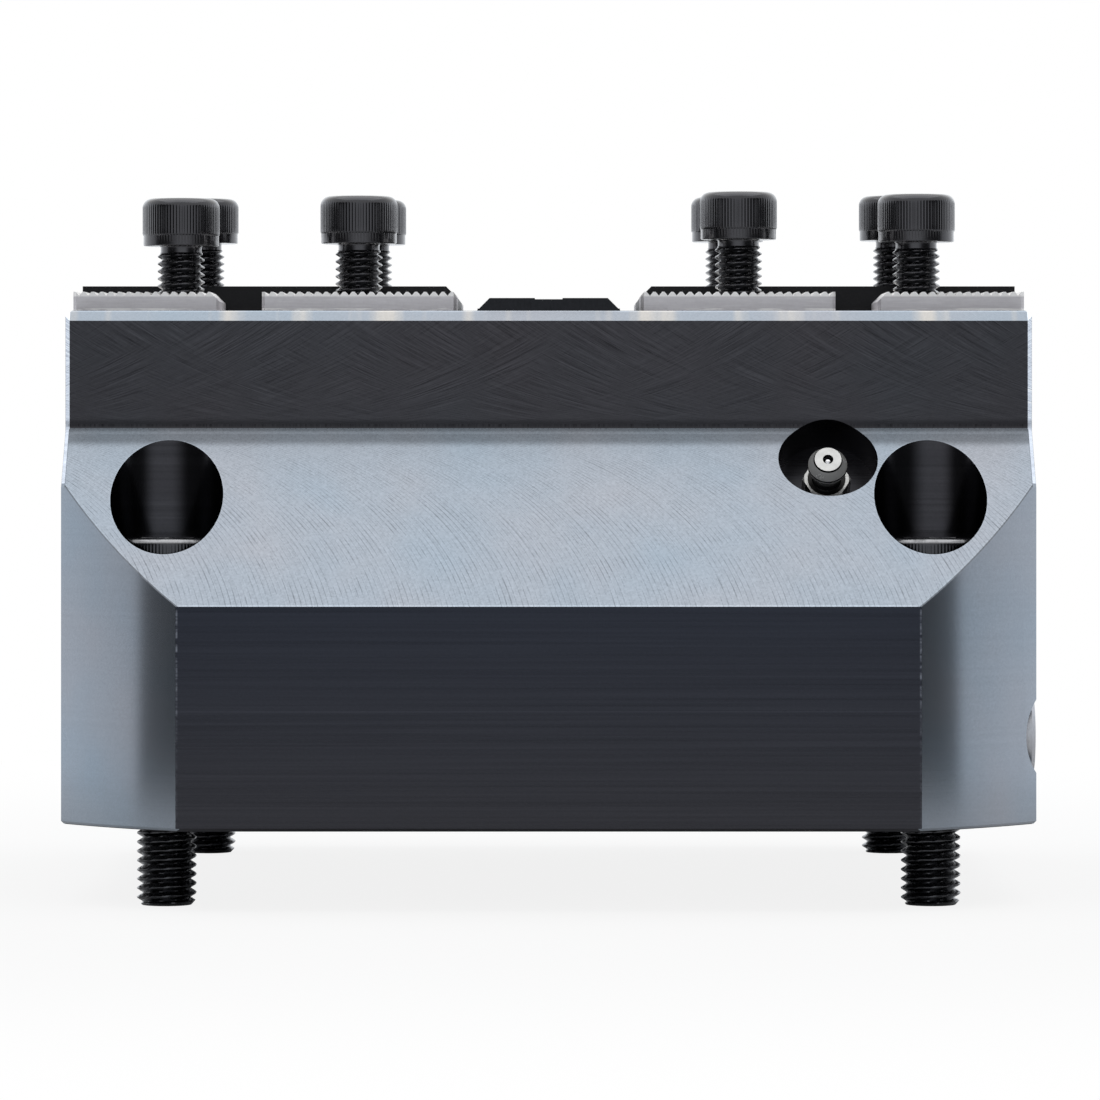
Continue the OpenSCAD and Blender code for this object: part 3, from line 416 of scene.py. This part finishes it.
def zinc_plated_steel():
    """Bright zinc plate on the free cutting steel of the grease nipples: smooth, light and hardly clouded.

    Painted shade blackens the mouth, the neck and the hexagon inside the edges of its rim, which keep the
    plate's tone, and lies in two dark rings round the head. Places are told by the distance along and from
    the nipple's axis. Half metallic gives the milky shine of the passivated zinc, and its clouds are about 1
    mm wide.
    """
    made, t, at, _ = material("zinc plated steel")
    folded = put(t, "VectorMath", at, operation="ABSOLUTE")
    folded = put(t, "VectorMath", folded, GREASE_AT, operation="SUBTRACT")
    axis = (0, math.cos(GREASE_TILT), math.sin(GREASE_TILT))
    along = put(t, "VectorMath", folded, axis, operation="DOT_PRODUCT", out="Value")
    foot = put(t, "VectorMath", axis, named={"Scale": along}, operation="SCALE")
    off = put(t, "VectorMath", folded, foot, operation="SUBTRACT")
    off = put(t, "VectorMath", off, operation="LENGTH", out="Value")
    cloud = put(t, "TexNoise", named={"Vector": at, "Scale": 0.8, "Detail": 3.0})
    colour = put(t, "Mix", named={0: cloud, 6: srgb("#d8d8d6"), 7: srgb("#f0f0ee")}, **COLOURS)

    # Painted shade below the head, but not on the edges of the hexagon's rim
    painted_shade = put(t, "Math", along, HEAD_EDGE, operation="LESS_THAN")
    rim = put(t, "Math", off, 3.62, operation="GREATER_THAN")
    brow = put(t, "Math", along, HEXAGON_TOP, 0.14, operation="COMPARE")
    outside = put(t, "Math", off, 3.15, operation="GREATER_THAN")
    brow = put(t, "Math", brow, outside, operation="MULTIPLY")
    rim = put(t, "Math", rim, brow, use_clamp=True)
    painted_shade = put(t, "Math", painted_shade, rim, operation="SUBTRACT", use_clamp=True)

    # Painted shade in the mouth and in a dark ring at each end of the head
    mouth = put(t, "Math", off, 0.87, operation="LESS_THAN")
    painted_shade = put(t, "Math", painted_shade, mouth, use_clamp=True)
    ring = put(t, "Math", along, -0.2, 0.14, operation="COMPARE")
    lower_ring = put(t, "Math", along, -2.0, 0.16, operation="COMPARE")
    painted_shade = put(t, "Math", painted_shade, put(t, "Math", ring, lower_ring), use_clamp=True)
    colour = put(t, "Mix", named={0: painted_shade, 6: colour, 7: srgb("#161514")}, **COLOURS)
    rough = put(t, "MapRange", cloud, 0.3, 0.7, 0.16, 0.28)
    surface(t, cloud, 0.002, Base_Color=colour, Roughness=rough, Metallic=0.5)
    return made


def polished_ball_steel():
    """Lapped bearing steel of the check balls: nearly a mirror, with a haze drawn coarser than it is."""
    made, t, at, _ = material("polished ball steel")
    haze = put(t, "TexNoise", named={"Vector": at, "Scale": 2.0, "Detail": 2.0})
    colour = put(t, "Mix", named={0: haze, 6: srgb("#c6c6c8"), 7: srgb("#d8d8da")}, **COLOURS)
    rough = put(t, "MapRange", haze, 0.3, 0.7, 0.06, 0.12)
    surface(t, Base_Color=colour, Roughness=rough, Metallic=1.0)
    return made


def nitrile_rubber():
    """Moulded nitrile rubber of the seals: deep black and dull.

    Its moulded grain is drawn at 0.3 mm, coarser than the real 0.05 mm so that it shows.
    """
    made, t, at, _ = material("nitrile rubber")
    grain = put(t, "TexNoise", named={"Vector": at, "Scale": 3.0, "Detail": 3.0})
    colour = put(t, "Mix", named={0: grain, 6: srgb("#151515"), 7: srgb("#222222")}, **COLOURS)
    rough = put(t, "MapRange", grain, 0.3, 0.7, 0.5, 0.68)
    surface(t, grain, 0.01, Base_Color=colour, Roughness=rough, Metallic=0.0)
    return made


def bronze_filled_ptfe():
    """Bronze filled PTFE of the guide ring: brown and waxy with metal flecks.

    The flecks are drawn at 0.3 mm, coarser than the real powder of about 0.05 mm so that they show.
    """
    made, t, at, _ = material("bronze filled PTFE")
    fleck = put(t, "TexNoise", named={"Vector": at, "Scale": 3.0, "Detail": 4.0})
    colour = put(t, "Mix", named={0: fleck, 6: srgb("#664a2f"), 7: srgb("#8d6d48")}, **COLOURS)
    rough = put(t, "MapRange", fleck, 0.3, 0.7, 0.4, 0.58)
    surface(t, fleck, 0.006, Base_Color=colour, Roughness=rough, Metallic=0.0)
    return made


screw_steel = black_oxide_screw_steel()
FINISHES = {
    "black_body_steel": black_oxide_tool_steel(),
    "ground_jaw_steel": ground_case_hardened_steel(),
    "black_screw_steel": screw_steel,
    "black_cover_steel": black_oxide_milled_bar(),
    "machined_steel": turned_bare_steel(),
    "seal_rubber": nitrile_rubber(),
    "guide_plastic": bronze_filled_ptfe(),
    "zinc_nipple_steel": zinc_plated_steel(),
    "ball_steel": polished_ball_steel(),
}
for part in frame["record"]["subparts"]:
    solid = frame["nodes"][part["node"]]
    solid.data.materials.clear()
    solid.data.materials.append(FINISHES[part["material_slot"]])


def turned_shell(r, z):
    """Closed surface from arrays of radii and heights; column j stands at the angle 2 pi j / columns.

    The first and last rows are closed by a fan to a point on the axis. Rows run from the top down.
    """
    rows, n = r.shape
    angle = np.arange(n) * TAU / n
    around = np.stack([r * np.cos(angle), r * np.sin(angle), z], axis=-1).reshape(-1, 3)
    poles = np.array([[0, 0, z[0].mean()], [0, 0, z[-1].mean()]])
    j = np.arange(n)
    k = (j + 1) % n
    i = np.arange(rows - 1)[:, None] * n
    quads = np.stack([i + j, i + n + j, i + n + k, i + k], axis=-1).reshape(-1, 4)
    first = np.stack([np.full(n, rows * n), j, k], axis=-1)
    last = np.stack([np.full(n, rows * n + 1), (rows - 1) * n + k, (rows - 1) * n + j], axis=-1)
    return np.vstack([around, poles]), quads.tolist() + first.tolist() + last.tolist()


def rolled_thread(start, length, d, pitch, columns):
    """Radii and heights of a thread from z = start down.

    The radius is a triangle wave of distance / pitch + angle / 2 pi, cut flat at crest and root. It rises
    out of the neck over the first half pitch and runs into a chamfer over the last 0.6 of one. A metric
    thread is 0.61 pitches deep.
    """
    deep = 0.61 * pitch
    s = np.linspace(0, length, int(length / pitch * 10) + 1)[:, None]
    turn = (np.arange(columns) / columns)[None, :]
    wave = np.abs(((s / pitch + turn) % 1.0) * 2 - 1)
    # The root is flat over 0.08 of the wave and the crest over 0.18
    r = d / 2 - deep + deep * np.clip((wave - 0.08) / 0.74, 0, 1)
    fade = np.clip(s / pitch * 2, 0, 1)
    r = (d / 2 - deep * 0.5) * (1 - fade) + r * fade
    chamfer = d / 2 - deep * 0.9 * (1 - np.clip((length - s) / (0.6 * pitch), 0, 1))
    return np.minimum(r, chamfer), np.repeat(start - s, columns, axis=1)


def screw_head(d, height, hexagon, deep, edge, band, grooves):
    """Head of a socket screw with its underside at z = 0.

    A profile turned about the axis. Its side carries grooves, a raised cosine of the angle to the power
    1.5, and its top runs in to the hexagon, whose radius is its half width over the cosine of the angle
    folded into one sixth of a turn. hexagon and deep are the socket's width and depth, edge is the radius of
    the rim, and band is the height of the plain collar below the grooves.
    """
    columns = grooves * 6
    angle = np.arange(columns) * TAU / columns
    six = hexagon / 2 / np.cos((angle + math.pi / 6) % (math.pi / 3) - math.pi / 6)
    groove_deep = 0.06
    groove = groove_deep * (0.5 - 0.5 * np.cos(angle * grooves)) ** 1.5
    # From the top down: round the rim, down the grooves and the collar, and in under the head
    r = d / 2
    top = height - edge
    arc = np.linspace(math.pi / 2, 0, 10)
    radii = np.concatenate([
        r - edge + edge * np.cos(arc),
        [r, r, r, r, r, r - 0.08, r - 0.15, r - 0.15, r - 0.2, r - 0.45, r - 2.0],
    ])
    heights = np.concatenate([
        top + edge * np.sin(arc),
        np.linspace(top, band + 0.35, 6)[1:],
        [band + 0.1, band, 0.22, 0.06, 0.0, 0.0],
    ])
    grip = np.concatenate([np.clip(1 - 2.2 * np.sin(arc), 0, 1), [1, 1, 1, 1, 0.9, 0.3, 0, 0, 0, 0, 0]])
    outer = radii[:, None] - grip[:, None] * groove[None, :]
    # From the socket's floor up, and out over its chamfer
    levels = np.array([-deep - hexagon / 10, -deep, -deep + 0.1, -0.5, -0.3, 0, 0]) + height
    inner = np.stack([six * 0.3, six * 0.97, six, six, six + 0.02, six + 0.35, six + 0.55])
    z = np.repeat(np.concatenate([levels, heights])[:, None], columns, axis=1)
    return turned_shell(np.vstack([inner, outer]), z)


def screw_shank(length, thread, d, pitch, neck):
    """Neck and thread below z = 0: a turned profile with a fillet at the head, its first rows inside it."""
    columns = 96
    plain = length - thread
    radii = [neck / 2 + 0.25, neck / 2 + 0.25, neck / 2 + 0.07, neck / 2, neck / 2]
    heights = [1.2, 0.0, -0.08, -0.3, -plain]
    r = np.repeat(np.array(radii)[:, None], columns, axis=1)
    z = np.repeat(np.array(heights)[:, None], columns, axis=1)
    thread_r, thread_z = rolled_thread(-plain, thread, d, pitch, columns)
    return turned_shell(np.vstack([r, thread_r]), np.vstack([z, thread_z]))


def cap_screw(stands_for, body, head, shank):
    """Socket screw in place of a packed one, on the middle of that one's box and with the same top."""
    low, high = (np.array(corner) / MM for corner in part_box(stands_for))
    foot = np.array([(low[0] + high[0]) / 2, (low[1] + high[1]) / 2, high[2] - head["height"]])
    points, faces = screw_head(**head)
    more, more_faces = screw_shank(**shank)
    faces += [[i + len(points) for i in face] for face in more_faces]
    points = (np.vstack([points, more]) + foot) * MM
    mesh = bpy.data.meshes.new(stands_for + "_detail")
    mesh.from_pydata(points.tolist(), [], faces)
    mesh.shade_smooth()
    mesh.set_sharp_from_angle(angle=math.radians(30))
    mesh.materials.append(screw_steel)
    screw = bpy.data.objects.new(stands_for + "_detail", mesh)
    bpy.context.scene.collection.objects.link(screw)
    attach(screw, body)
    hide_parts(stands_for)


for name in list(frame["nodes"]):
    if name.startswith("jaw_screw"):
        jaw = "jaw_left" if "left" in name else "jaw_right"
        cap_screw(name, jaw, JAW_HEAD, JAW_SHANK)
    elif name.startswith("mounting_screw"):
        cap_screw(name, "housing", BODY_HEAD, BODY_SHANK)


def add_mesh(name, points, faces, finish):
    """Staged mesh at the origin with one material."""
    mesh = bpy.data.meshes.new(name)
    mesh.from_pydata(points, [], faces)
    mesh.materials.append(finish)
    made = bpy.data.objects.new(name, mesh)
    bpy.context.scene.collection.objects.link(made)
    made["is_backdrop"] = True


def white_floor():
    """White painted studio floor with the object's faint shadow; past 380 mm the camera sees it white."""
    finish, t, at, _ = material("white floor paint")
    far = put(t, "VectorMath", at, operation="LENGTH", out="Value")
    share = put(t, "MapRange", far, 150.0, 380.0, 0.86, 1.0, interpolation_type="SMOOTHSTEP")
    share = put(t, "Math", share, put(t, "LightPath", out="Is Camera Ray"), operation="MULTIPLY")
    paint = put(t, "BsdfDiffuse", (0.88, 0.88, 0.88, 1))
    paper = put(t, "Emission", (1, 1, 1, 1), 1.0)
    put(t, "OutputMaterial", put(t, "MixShader", share, paint, paper))
    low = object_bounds()[0][2]
    signs = [(-1, -1), (1, -1), (1, 1), (-1, 1)]
    points = [(i * FLOOR_HALF, j * FLOOR_HALF, low) for i, j in signs]
    add_mesh("floor", points, [(0, 1, 2, 3)], finish)


def studio_cloths():
    """Cloths hung round the table, unseen by the camera.

    A cylinder. Counted from the front, it is white for 12 degrees and dark from 42 to 66, turns a little
    lighter up to 77, is lit from 78 to 150 and white again from 165.
    """
    finish, t, _, (x, y, _) = material("studio cloths")
    aside = put(t, "Math", x, operation="ABSOLUTE")
    ahead = put(t, "Math", y, -1.0, operation="MULTIPLY")
    angle = put(t, "Math", aside, ahead, operation="ARCTAN2")
    angle = put(t, "Math", angle, operation="DEGREES")
    dark = put(t, "MapRange", angle, 12.0, 42.0, interpolation_type="SMOOTHSTEP")
    lit = put(t, "MapRange", angle, 75.5, 78.5, interpolation_type="SMOOTHSTEP")
    white = put(t, "MapRange", angle, 150.0, 165.0)
    grey = put(t, "MapRange", angle, 66.0, 77.0, 0.08, 0.24)
    bright = put(t, "MapRange", angle, 78.0, 100.0, 0.88, 1.17)
    level = put(t, "MapRange", dark, 0.0, 1.0, 1.0, grey)
    level = put(t, "MapRange", lit, 0.0, 1.0, level, bright)
    level = put(t, "MapRange", white, 0.0, 1.0, level, 1.0)
    glow = put(t, "Emission", (0.93, 0.96, 1.0, 1), level)
    clear = put(t, "BsdfTransparent")
    put(t, "OutputMaterial", put(t, "MixShader", put(t, "LightPath", out="Is Camera Ray"), glow, clear))
    columns = 180
    turn = np.arange(columns) * TAU / columns
    floor = np.full(columns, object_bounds()[0][2])
    low = np.stack([CLOTH_R * np.sin(turn), -CLOTH_R * np.cos(turn), floor], axis=-1)
    high = low + np.array([0, 0, CLOTH_H])
    j = np.arange(columns)
    k = (j + 1) % columns
    faces = np.stack([j, j + columns, k + columns, k], axis=-1)
    add_mesh("studio_cloths", np.vstack([low, high]).tolist(), faces.tolist(), finish)


def white_room():
    """White to the camera and in mirrors, half as bright to matt surfaces."""
    room = bpy.data.worlds.new("white room")
    room.use_nodes = True
    t = room.node_tree
    t.nodes.clear()
    seen = put(t, "Math", put(t, "LightPath", out="Is Camera Ray"), put(t, "LightPath", out="Is Glossy Ray"))
    seen = put(t, "Math", seen, put(t, "LightPath", out="Is Transmission Ray"), use_clamp=True)
    level = put(t, "MapRange", seen, 0.0, 1.0, 0.5, 1.0)
    put(t, "OutputWorld", put(t, "Background", (1, 1, 1, 1), level))
    bpy.context.scene.world = room


def overhead_softbox():
    """Rectangular lamp that shines straight down."""
    lamp = bpy.data.lights.new("overhead_softbox", "AREA")
    lamp.shape = "RECTANGLE"
    lamp.size, lamp.size_y = LAMP_SIDES
    lamp.energy = LAMP_WATTS
    box = bpy.data.objects.new("overhead_softbox", lamp)
    box.location = LAMP_AT
    bpy.context.scene.collection.objects.link(box)


def camera():
    """Long lens level with the upper edge of the slopes, shifted as the photograph's frame is."""
    lens = bpy.data.cameras.new("camera")
    lens.sensor_width = SENSOR_WIDTH
    lens.lens = FOCAL_LENGTH
    lens.shift_x = SHIFT_X
    lens.shift_y = SHIFT_Y
    lens.clip_start = 0.05
    lens.clip_end = 50
    eye = bpy.data.objects.new("camera", lens)
    eye.location = CAMERA_AT
    eye.rotation_euler = (math.pi / 2, 0, 0)
    bpy.context.scene.collection.objects.link(eye)
    bpy.context.scene.camera = eye


white_floor()
studio_cloths()
white_room()
overhead_softbox()
camera()
bpy.context.scene.view_settings.view_transform = "Standard"
